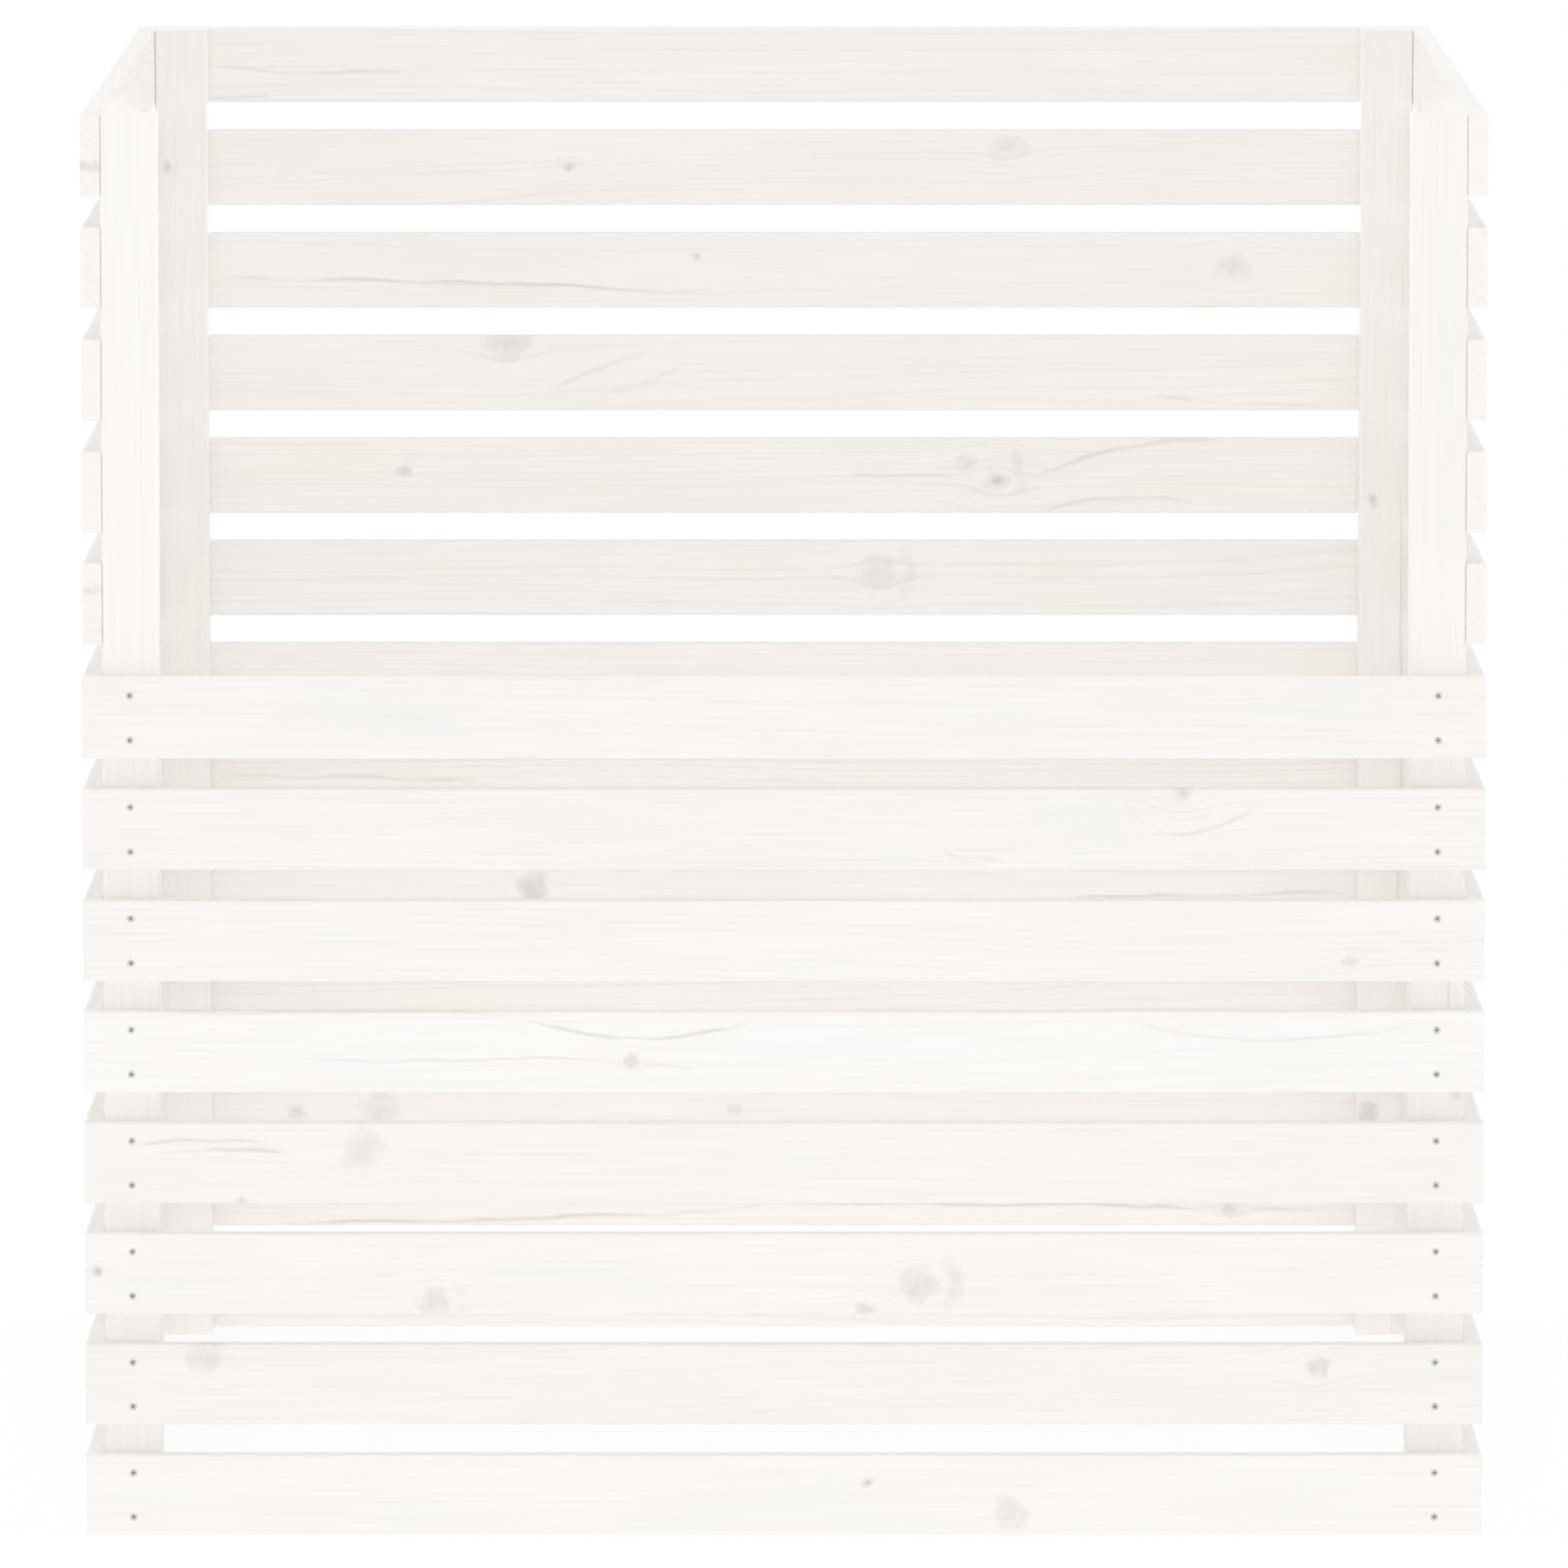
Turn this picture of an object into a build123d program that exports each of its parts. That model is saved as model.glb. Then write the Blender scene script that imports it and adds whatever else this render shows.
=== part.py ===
"""Square slatted compost bin: four corner posts with slats screwed to their outer faces.

The top and the bottom are open, and the front wall is low, so that the bin can be filled and forked out.
Frame: millimetres, +Z up, origin on the ground in the middle of the bin, low front wall towards -Y.
"""

import os
from collections import namedtuple
from math import radians, tan

from build123d import *

# Driving dimensions
bin_width = 1000.0  # over the outer faces of the side walls, along X
bin_depth = 1000.0  # over the outer faces of the front and back walls, along Y
slat_width = 58.0  # height of one slat as it stands in the wall
slat_thickness = 14.0
slat_gap = 22.0  # air gap between one slat and the next
slat_edge_radius = 1.5  # eased long edges of a slat
wall_rows = 13  # slats in the back wall and in each side wall
front_rows = 8  # slats in the low front wall, counted from the ground
post_side = 40.0  # square corner post
post_edge_radius = 2.0  # eased long edges of a post
screw_diameter = 3.0
screw_head_diameter = 5.5
screw_head_angle = 90.0  # countersunk head
screw_head_sink = 0.3  # depth of the head below the slat's face
screw_point_length = 4.0
screw_pair_spacing = 32.0  # between the two screws at one end of a slat
screw_seat_clearance = 0.05  # radial, around the head and in the post's pilot hole
screw_slat_clearance = 0.25  # radial, around the shank where it passes through the slat
screw_end_clearance = 4.0  # from a screw's point to the axes of the screws from the other wall
cross_recess_length = 3.2
cross_recess_width = 0.8
cross_recess_depth = 1.0

# Derived sizes
row_pitch = slat_width + slat_gap
bin_height = (wall_rows - 1) * row_pitch + slat_width
side_slat_length = bin_depth - 2 * slat_thickness
post_offset_x = bin_width / 2 - slat_thickness - post_side / 2
post_offset_y = bin_depth / 2 - slat_thickness - post_side / 2
screw_length = slat_thickness + post_side / 2 - screw_head_sink - screw_end_clearance
screw_radius = screw_diameter / 2
screw_head_radius = screw_head_diameter / 2
screw_head_height = (screw_head_radius - screw_radius) / tan(radians(screw_head_angle / 2))

# Outer face of each wall, standing on the ground: local X runs along the wall, Y is up and Z points outwards
front_face = Plane(origin=(0, -bin_depth / 2, 0), x_dir=(1, 0, 0), z_dir=(0, -1, 0))
back_face = Plane(origin=(0, bin_depth / 2, 0), x_dir=(-1, 0, 0), z_dir=(0, 1, 0))
left_face = Plane(origin=(-bin_width / 2, 0, 0), x_dir=(0, -1, 0), z_dir=(-1, 0, 0))
right_face = Plane(origin=(bin_width / 2, 0, 0), x_dir=(0, 1, 0), z_dir=(1, 0, 0))

# A wall has its outer face, the length of its slats, how far its screws are from its middle, and its rows
Wall = namedtuple("Wall", "face slat_length screw_reach rows")
walls = {
    "front": Wall(front_face, bin_width, post_offset_x, front_rows),
    "back": Wall(back_face, bin_width, post_offset_x, wall_rows),
    "left": Wall(left_face, side_slat_length, post_offset_y, wall_rows),
    "right": Wall(right_face, side_slat_length, post_offset_y, wall_rows),
}

# A post has the side of the bin that it stands on in X and in Y, and the two walls that are screwed to it
Post = namedtuple("Post", "x_side y_side walls")
posts = {
    "front_left_post": Post(-1, -1, ("front", "left")),
    "front_right_post": Post(1, -1, ("front", "right")),
    "back_left_post": Post(-1, 1, ("back", "left")),
    "back_right_post": Post(1, 1, ("back", "right")),
}


def row_height(row):
    """Height of a slat's middle above the ground, with rows counted from zero."""
    return slat_width / 2 + row * row_pitch


def screw_seats(wall, rows):
    """Middle of each screw head in these rows of a wall, with local Z pointing out of the wall."""
    places = [
        (end * wall.screw_reach, row_height(row) + pair * screw_pair_spacing / 2, -screw_head_sink)
        for row in rows
        for end in (-1, 1)
        for pair in (-1, 1)
    ]
    return [wall.face.location * Location(place) for place in places]


def make_slat(wall, row, label):
    """One slat with eased long edges and two countersunk holes at each end."""
    with BuildPart() as slat:
        with BuildSketch(wall.face):
            with Locations((0, row_height(row))):
                Rectangle(wall.slat_length, slat_width)
        extrude(amount=-slat_thickness)
        fillet(slat.edges().filter_by(Axis((0, 0, 0), wall.face.x_dir)), slat_edge_radius)
        with Locations(*screw_seats(wall, [row])):
            CounterSinkHole(
                screw_radius + screw_slat_clearance,
                screw_head_radius + screw_seat_clearance,
                counter_sink_angle=screw_head_angle,
            )
    slat.part.label = label
    export_step(slat.part, f"parts/{label}.step")


def make_post(corner, label):
    """One corner post with eased long edges and a pilot hole for every screw that reaches it."""
    wall_seats = [seat for name in corner.walls for seat in screw_seats(walls[name], range(walls[name].rows))]
    post_seats = [
        seat
        for seat in wall_seats
        if seat.position.X * corner.x_side > 0 and seat.position.Y * corner.y_side > 0
    ]
    with BuildPart() as post:
        with BuildSketch():
            with Locations((corner.x_side * post_offset_x, corner.y_side * post_offset_y)):
                Rectangle(post_side, post_side)
        extrude(amount=bin_height)
        fillet(post.edges().filter_by(Axis.Z), post_edge_radius)
        with Locations(*post_seats):
            Hole(screw_radius + screw_seat_clearance, screw_length)
    post.part.label = label
    export_step(post.part, f"parts/{label}.step")


def make_screws(wall, label):
    """All the screws of one wall, as a group of separate solids."""
    with BuildPart() as screws:
        with Locations(*screw_seats(wall, range(wall.rows))):
            add(wood_screw.part)
    screws.part.label = label
    export_step(screws.part, f"parts/{label}.step")


# One countersunk wood screw, the middle of its head's top at the origin and its point towards -Z
with BuildPart() as wood_screw:
    with BuildSketch(Plane.XZ):
        with BuildLine():
            Polyline(
                (0, 0),
                (screw_head_radius, 0),
                (screw_radius, -screw_head_height),
                (screw_radius, screw_point_length - screw_length),
                (0, -screw_length),
                close=True,
            )
        make_face()
    revolve(axis=Axis.Z)
    with BuildSketch():
        Rectangle(cross_recess_length, cross_recess_width)
        Rectangle(cross_recess_width, cross_recess_length)
    extrude(amount=-cross_recess_depth, mode=Mode.SUBTRACT)

os.makedirs("parts", exist_ok=True)

for post_name, corner in posts.items():
    make_post(corner, post_name)

for wall_name, wall in walls.items():
    for row in range(wall.rows):
        make_slat(wall, row, f"{wall_name}_slat_{row + 1:02d}")
    make_screws(wall, f"{wall_name}_screws")
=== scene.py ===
"""Looks of a slatted compost bin: white-stained pine boards and zinc-plated screws."""

import math
import random
from collections import namedtuple

import bpy
from mathutils import Matrix, Vector


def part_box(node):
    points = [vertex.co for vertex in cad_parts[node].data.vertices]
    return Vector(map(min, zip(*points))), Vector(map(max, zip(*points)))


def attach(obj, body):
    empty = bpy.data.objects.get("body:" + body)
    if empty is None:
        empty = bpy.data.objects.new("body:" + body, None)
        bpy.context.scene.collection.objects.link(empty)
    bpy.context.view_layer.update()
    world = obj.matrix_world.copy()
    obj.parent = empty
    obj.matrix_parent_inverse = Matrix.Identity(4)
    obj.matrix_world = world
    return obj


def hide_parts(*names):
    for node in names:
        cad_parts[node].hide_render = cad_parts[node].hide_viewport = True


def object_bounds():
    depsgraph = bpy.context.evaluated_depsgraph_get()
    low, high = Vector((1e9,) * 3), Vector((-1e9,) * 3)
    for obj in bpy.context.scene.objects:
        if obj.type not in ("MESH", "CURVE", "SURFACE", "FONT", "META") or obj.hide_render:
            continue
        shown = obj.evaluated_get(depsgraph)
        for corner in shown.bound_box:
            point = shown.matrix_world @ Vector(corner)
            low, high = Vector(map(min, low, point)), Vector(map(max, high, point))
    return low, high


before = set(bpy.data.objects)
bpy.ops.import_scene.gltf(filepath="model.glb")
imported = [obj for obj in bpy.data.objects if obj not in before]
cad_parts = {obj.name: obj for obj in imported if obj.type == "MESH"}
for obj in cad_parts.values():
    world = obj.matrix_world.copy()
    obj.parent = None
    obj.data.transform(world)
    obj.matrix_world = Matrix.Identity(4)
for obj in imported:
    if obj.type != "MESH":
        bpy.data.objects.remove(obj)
cad_low, cad_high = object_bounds()

MM = 0.001  # metres in a millimetre

# White-stained pine, as sRGB hex
STAIN_WHITE = "F9F6F4"
STAIN_THICK = "FCFAF8"
STAIN_WARM = "F8F4EF"
STAIN_COOL = "F5F3F1"
FIBRE_SHADE = "EEE9E5"
LATEWOOD = "E6DFDA"
KNOT_BODY = "DCD7D4"
KNOT_HEART = "CBC4C0"
END_GRAIN = "FAF6F2"
BARE_EDGE = "EDEAE6"

# Zinc-plated steel, as sRGB hex
ZINC_BRIGHT = "E4E3E0"
ZINC_DULL = "D4D2CF"
# The next colour is painted shade, for the faces inside the cross recess
ZINC_PAINTED_RECESS_SHADE = "B4B2AF"

# Screw sizes in millimetres
SCREW_SIZES = {
    "Head Radius": 2.75,
    "Head Edge": 0.15,
    "Head Height": 1.25,
    "Shank Radius": 1.5,
    "Point Length": 4.0,
    "Recess Length": 3.2,
    "Recess Width": 0.8,
    "Recess Depth": 1.0,
    "Recess Radius": 0.9,
}
SCREW_SIDES = 12
SCREW_HEAD_SINK = 0.3  # depth of the head below the slat's face
SCREW_PAIR_SPACING = 32.0  # between the two screws at one end of a slat
SCREW_TURN_SEED = 7
# The zinc material paints shade on the faces that this attribute marks
RECESS_MARK = "recess"  # attribute that marks the faces of the cross recess

# Walls of the bin, each with its turn about the vertical from the front wall
WALL_TURNS = {"front": 0.0, "right": 90.0, "back": 180.0, "left": -90.0}

# A knot's middle, radius, length over width, reach of the bent grain in radii, and how dark it, its heart and
# the crescent beside it are. Places are in millimetres from the board's middle, along and across it.
Knot = namedtuple("Knot", "along across radius stretch swirl shade heart crescent", defaults=(0.0,))
KNOTS = {
    "back_slat_12": [Knot(174, 16, 11, 1.4, 2.0, 0.33, 0.15), Knot(-167, 0, 4, 1.2, 2.0, 0.8, 0.4)],
    "back_slat_11": [Knot(348, 3, 11, 1.2, 2.0, 0.35, 0.2), Knot(-68, 11, 3, 1.3, 2.0, 0.7, 0.3)],
    "back_slat_10": [Knot(-213, 24, 13, 1.5, 2.0, 0.55, 0.15)],
    "back_slat_09": [
        Knot(166, -4, 9, 1.2, 3.2, 0.6, 0.7, 0.5),
        Knot(181, 9, 11, 0.45, 0.6, 0.4, 0.0),
        Knot(141, 10, 7, 1.2, 0.8, 0.45, 0.0),
        Knot(-295, 4, 5, 1.3, 2.0, 0.7, 0.3),
    ],
    "back_slat_08": [Knot(74, 4, 14, 1.0, 1.6, 0.55, 0.05, 0.6)],
    "back_slat_05": [Knot(-197, -3, 12, 1.2, 2.0, 0.9, 0.3)],
    "back_slat_03": [
        Knot(-381, -19, 7, 1.1, 2.0, 0.7, 0.3),
        Knot(-315, -16, 13, 1.2, 1.5, 0.5, 0.1),
        Knot(-39, -17, 5, 1.4, 2.0, 0.6, 0.0),
    ],
    "back_slat_02": [Knot(348, -16, 6, 1.3, 2.0, 0.8, 0.3)],
    "front_slat_07": [Knot(284, 26, 6, 1.3, 4.5, 0.52, 0.3)],
    "front_slat_06": [Knot(404, -15, 4, 1.8, 2.0, 0.6, 0.0)],
    "front_slat_05": [Knot(-109, -6, 5, 1.1, 2.5, 0.8, 0.1)],
    "front_slat_04": [Knot(-303, 9, 17, 0.85, 1.6, 0.45, 0.1), Knot(-388, -27, 3, 1.2, 2.0, 0.7, 0.4)],
    "front_slat_03": [
        Knot(-250, -19, 10, 1.2, 2.0, 0.66, 0.1, 0.3),
        Knot(98, -7, 13, 1.1, 1.6, 0.62, 0.05, 0.8),
        Knot(57, -26, 6, 1.4, 2.0, 0.8, 0.1),
        Knot(-491, 2, 4, 1.0, 1.5, 0.9, 0.8),
    ],
    "front_slat_02": [Knot(-414, 21, 14, 1.0, 1.6, 0.5, 0.0), Knot(382, 12, 8, 1.1, 2.0, 0.85, 0.15)],
    "front_slat_01": [Knot(60, 9, 4, 1.2, 2.5, 0.7, 0.75), Knot(162, -13, 11, 1.2, 2.5, 0.45, 0.1)],
    "left_slat_13": [Knot(-483, -8, 5, 1.0, 2.0, 0.8, 0.2)],
    "left_slat_09": [Knot(-481, 10, 6, 1.0, 2.0, 0.7, 0.2), Knot(-482, -19, 4, 1.0, 2.0, 0.8, 0.3)],
    "front_right_post": [Knot(-190, 15, 5, 1.5, 1.5, 0.8, 0.3)],
    "back_left_post": [Knot(403, -10, 4, 1.4, 2.0, 0.8, 0.2)],
    "back_right_post": [Knot(145, -10, 4, 1.3, 2.5, 0.9, 0.5), Knot(-335, -10, 9, 1.2, 2.0, 1.0, 0.3)],
}

# A dark grain streak's ends along the board, its place across at its start, middle and end, its width
# and its shade. Places are in millimetres from the board's middle.
Streak = namedtuple("Streak", "start end across width shade")
STREAKS = {
    "back_slat_13": [
        Streak(-448, -270, (0, -6, -3), 2.4, 0.6),
        Streak(-448, -395, (-26, -25, -24), 2.8, 0.6),
    ],
    "back_slat_11": [
        Streak(-460, -25, (-5, -10, -19), 2.4, 0.8),
        Streak(-300, -60, (-12, -13, -18), 2.0, 0.4),
    ],
    "back_slat_10": [
        Streak(-180, -105, (-12, 4, 17), 3.2, 0.3),
        Streak(-146, -78, (-19, -8, 5), 3.2, 0.3),
        Streak(280, 420, (-18, -22, -26), 2.2, 0.5),
    ],
    "back_slat_09": [
        Streak(192, 345, (-4, 23, 27), 3.0, 0.7),
        Streak(190, 330, (-29, -18, -21), 2.4, 0.5),
        Streak(50, 135, (0, -1, -2), 2.0, 0.5),
    ],
    "back_slat_06": [Streak(-448, -230, (6, 4, 0), 2.4, 0.6)],
    "back_slat_05": [Streak(215, 448, (-12, -8, -6), 2.6, 0.8)],
    "back_slat_02": [Streak(-420, 0, (-26, -24, -12), 2.6, 0.8), Streak(-10, 446, (-13, -13, -18), 2.6, 0.8)],
    "front_slat_07": [
        Streak(270, 340, (2, 6, 17), 2.8, 0.65),
        Streak(240, 286, (22, 6, 2), 2.2, 0.22),
        Streak(268, 308, (18, 16, 19), 2.2, 0.4),
        Streak(112, 158, (-19, -20, -22), 1.8, 0.5),
    ],
    "front_slat_05": [
        Streak(-195, -15, (28, 9, 25), 2.2, 0.7),
        Streak(-470, -150, (26, 29, 27), 2.0, 0.45),
        Streak(-340, -112, (-6, -6, -4), 1.8, 0.5),
        Streak(-106, -60, (-7, -9, -12), 1.8, 0.55),
        Streak(240, 462, (24, 9, 24), 2.2, 0.5),
    ],
    "front_slat_04": [
        Streak(-416, -354, (10, 10, 8), 2.3, 1.0),
        Streak(-466, -366, (12, 16, 15), 1.9, 0.65),
        Streak(-456, -400, (7, 8, 10), 1.6, 0.35),
    ],
    "back_right_post": [Streak(-260, 190, (10, 12, 11), 1.8, 0.6)],
    "front_right_post": [Streak(-150, -92, (10, 10, 10), 1.8, 0.9)],
}

# Boards whose coat of stain is thick or thin, and by how much
THICK_COATS = {"front_slat_05": 0.7, "front_slat_01": 0.35, "front_left_post": 0.5}
THIN_COATS = {"back_left_post": 0.22, "back_right_post": 0.18, "front_slat_02": 0.2, "front_slat_04": 0.12}

# Sizes of the wood's patterns in millimetres, along and across the board
PITH_WANDER_SIZE = (420, 160)
RING_RIPPLE_SIZE = (90, 9)
FIBRE_SIZE = (90, 2.2)
CLOUD_SIZE = (170, 38)
STREAK_WANDER_SIZE = (70, 40)
KNOT_RING_SPACING = 2.5

# Eased long edges: where the wear starts and is full, in millimetres from the edge, and how much it shows
EDGE_WEAR_START = 2.0
EDGE_WEAR_FULL = 0.4
EDGE_WEAR = 0.15

# Sizes of the zinc's patterns in millimetres
ZINC_CLOUD_SIZE = 0.9
ZINC_GRAIN_SIZE = 0.15
ZINC_GRAIN_HEIGHT = 0.01

# Lamps by name: direction from the bin in degrees of azimuth and elevation, width, height and level of light.
# The small front lamp is in the camera's direction, so that light passes the slats where the camera looks.
Lamp = namedtuple("Lamp", "azimuth elevation width height level")
LAMPS = {
    "front_spot": Lamp(0, 6.5, 0.2, 0.1, 0.06),
    "front_softbox": Lamp(0, 46, 4.0, 3.0, 0.05),
    "right_softbox": Lamp(90, 25, 4.0, 3.0, 0.13),
    "back_softbox": Lamp(180, 0, 4.0, 0.9, 0.1),
    "left_softbox": Lamp(270, 25, 4.0, 3.0, 0.13),
    "top_softbox": Lamp(0, 90, 4.0, 4.0, 0.1),
}
LAMP_DISTANCE = 11.2  # metres
AIR_LEVEL = 0.76  # even light from all round
FLOOR_LEVEL = 0.765  # even light from the floor

# Floor: half its width in metres, how much of the lamps' light it throws back to the bin, the two shares
# of what the camera sees near the bin, and the distances in metres over which it fades to plain white
FLOOR_HALF = 45.0
FLOOR_BOUNCE = 0.3
FLOOR_PALE = 0.26
FLOOR_GLOW = 0.74
FLOOR_FADE = (0.9, 2.5)

# Camera, fitted to the photograph's own viewpoint
CAMERA_PLACE = (0.0, -11.0123, 1.7579)
CAMERA_PITCH = 6.5987  # degrees below level
CAMERA_LENS = 340.98  # millimetres
CAMERA_SENSOR = 36.0  # millimetres

# Short names for the node kinds used most. RANGE takes a value, its range and the range it is mapped to.
MATH = "ShaderNodeMath"
VECTOR = "ShaderNodeVectorMath"
RANGE = "ShaderNodeMapRange"
NOISE = "ShaderNodeTexNoise"
MIX = "ShaderNodeMix"
SPLIT = "ShaderNodeSeparateXYZ"
TRANSFORM = "GeometryNodeTransform"


def linear(hex_colour):
    """Linear RGBA of an sRGB hex colour."""
    channels = [int(hex_colour[i : i + 2], 16) / 255 for i in (0, 2, 4)]
    return (*[c / 12.92 if c <= 0.04045 else ((c + 0.055) / 1.055) ** 2.4 for c in channels], 1.0)


def add_node(tree, kind, inputs=None, output=0, **settings):
    """Adds a node, gives its inputs a value, a link or a list of links, and returns one output."""
    node = tree.nodes.new(kind)
    for name, value in settings.items():
        setattr(node, name, value)
    for socket, value in (inputs or {}).items():
        sources = value if isinstance(value, list) else [value]
        if isinstance(sources[0], bpy.types.NodeSocket):
            for source in sources:
                tree.links.new(source, node.inputs[socket])
        else:
            node.inputs[socket].default_value = value
    return node.outputs[output] if len(node.outputs) else node


def new_group(name, kind, inputs, outputs):
    """A node group with these named sockets, and its group input and output sockets."""
    tree = bpy.data.node_groups.new(name, kind)
    for in_out, sockets in (("INPUT", inputs), ("OUTPUT", outputs)):
        for socket_name, socket_type in sockets.items():
            tree.interface.new_socket(socket_name, in_out=in_out, socket_type=f"NodeSocket{socket_type}")
    return tree, tree.nodes.new("NodeGroupInput").outputs, tree.nodes.new("NodeGroupOutput").inputs


def middle(node):
    """Middle of a node's box."""
    low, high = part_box(node)
    return (low + high) / 2


def pattern_place(tree, place, size):
    """A place in millimetres, divided by a pattern's size along and across the board."""
    along, across = size
    return add_node(tree, VECTOR, {0: place, 1: (1 / along, 1 / across, 1 / across)}, operation="MULTIPLY")


# White-stained pine
def knot_group():
    """A knot that pushes the grain aside: a ragged, blotchy disc with a dark heart and a crescent."""
    tree, given, result = new_group(
        "pine_knot",
        "ShaderNodeTree",
        {"Board": "Vector", "Grain": "Float", "Mark": "Float", "Heart": "Float", "Figure": "Float",
         "Centre": "Vector", "Radius": "Float", "Stretch": "Float", "Swirl": "Float", "Shade": "Float",
         "Heart Shade": "Float", "Crescent": "Float"},
        {"Grain": "Float", "Mark": "Float", "Heart": "Float", "Figure": "Float"},
    )
    offset = add_node(tree, VECTOR, {0: given["Board"], 1: given["Centre"]}, operation="SUBTRACT")
    parts = add_node(tree, SPLIT, {0: offset}).node.outputs
    shorter = add_node(tree, MATH, {0: parts[0], 1: given["Stretch"]}, operation="DIVIDE")
    disc = add_node(tree, "ShaderNodeCombineXYZ", {0: shorter, 1: parts[1]})
    inverse = add_node(tree, MATH, {0: 1.0, 1: given["Radius"]}, operation="DIVIDE")
    unit = add_node(tree, VECTOR, {0: disc, "Scale": inverse}, operation="SCALE")
    round_radius = add_node(tree, VECTOR, {0: unit}, output=1, operation="LENGTH")
    solid = add_node(tree, VECTOR, {0: offset, "Scale": inverse}, operation="SCALE")
    shifted = add_node(tree, VECTOR, {0: solid, 1: given["Centre"]}, operation="ADD")
    ragged = add_node(tree, NOISE, {"Vector": shifted, "Scale": 0.9, "Detail": 1.5})
    swell = add_node(tree, RANGE, {0: ragged, 1: 0.3, 2: 0.7, 3: 0.75, 4: 1.3})
    radius = add_node(tree, MATH, {0: round_radius, 1: swell}, operation="MULTIPLY")

    # Grain lines bend round the knot, crowd beside it and show more there
    reach = add_node(tree, MATH, {0: round_radius, 1: given["Swirl"]}, operation="DIVIDE")
    square = add_node(tree, MATH, {0: reach, 1: reach}, operation="MULTIPLY")
    near = add_node(tree, MATH, {0: square, 1: -1.2}, operation="MULTIPLY")
    bend = add_node(tree, MATH, {0: near}, operation="EXPONENT")
    push = add_node(tree, MATH, {0: parts[1], 1: bend}, operation="MULTIPLY")
    pushed = add_node(tree, MATH, {0: push, 1: -0.85, 2: given["Grain"]}, operation="MULTIPLY_ADD")
    tree.links.new(pushed, result["Grain"])
    wide = add_node(tree, MATH, {0: square, 1: -0.7}, operation="MULTIPLY")
    stir = add_node(tree, MATH, {0: wide}, operation="EXPONENT")
    stirred = add_node(tree, MATH, {0: stir, 1: given["Shade"], 2: given["Figure"]}, operation="MULTIPLY_ADD")
    tree.links.new(stirred, result["Figure"])

    # The knot's own disc is blotchy, with faint rings
    turns = add_node(
        tree, MATH, {0: given["Radius"], 1: 2 * math.pi / KNOT_RING_SPACING}, operation="MULTIPLY"
    )
    phase = add_node(tree, MATH, {0: radius, 1: turns}, operation="MULTIPLY")
    wave = add_node(tree, MATH, {0: phase}, operation="SINE")
    rings = add_node(tree, RANGE, {0: wave, 1: -1.0, 2: 1.0, 3: 0.8, 4: 1.0})
    patches = add_node(tree, NOISE, {"Vector": shifted, "Scale": 1.5, "Detail": 1.5})
    blotch = add_node(tree, RANGE, {0: patches, 1: 0.35, 2: 0.65, 3: 0.55, 4: 1.0})
    inside = add_node(
        tree, RANGE, {0: radius, 1: 0.6, 2: 1.25, 3: 1.0, 4: 0.0}, interpolation_type="SMOOTHSTEP"
    )
    ringed = add_node(tree, MATH, {0: inside, 1: rings}, operation="MULTIPLY")
    disc_mark = add_node(tree, MATH, {0: ringed, 1: blotch}, operation="MULTIPLY")

    # Past a pale ring lies a darker crescent, on the side that the branch leaned to
    crescent_gap = add_node(tree, MATH, {0: round_radius, 1: 1.75}, operation="SUBTRACT")
    crescent_side = add_node(tree, MATH, {0: crescent_gap}, operation="ABSOLUTE")
    crescent_line = add_node(
        tree, RANGE, {0: crescent_side, 1: 0.0, 2: 0.6, 3: 1.0, 4: 0.0}, interpolation_type="SMOOTHSTEP"
    )
    towards = add_node(tree, SPLIT, {0: add_node(tree, VECTOR, {0: unit}, operation="NORMALIZE")})
    leaned = add_node(tree, RANGE, {0: towards, 1: 0.5, 2: 1.0, 3: 0.0, 4: given["Crescent"]})
    crescent_patch = add_node(tree, MATH, {0: leaned, 1: blotch}, operation="MULTIPLY")
    crescent = add_node(tree, MATH, {0: crescent_line, 1: crescent_patch}, operation="MULTIPLY")
    body = add_node(tree, MATH, {0: disc_mark, 1: crescent}, operation="MAXIMUM")
    mark = add_node(tree, MATH, {0: body, 1: given["Shade"]}, operation="MULTIPLY")
    darker = add_node(tree, MATH, {0: mark, 1: given["Mark"]}, operation="MAXIMUM")
    tree.links.new(darker, result["Mark"])
    core = add_node(
        tree, RANGE, {0: radius, 1: 0.15, 2: 0.6, 3: 1.0, 4: 0.0}, interpolation_type="SMOOTHSTEP"
    )
    heart = add_node(tree, MATH, {0: core, 1: given["Heart Shade"]}, operation="MULTIPLY")
    darkest = add_node(tree, MATH, {0: heart, 1: given["Heart"]}, operation="MAXIMUM")
    tree.links.new(darkest, result["Heart"])
    return tree


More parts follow.
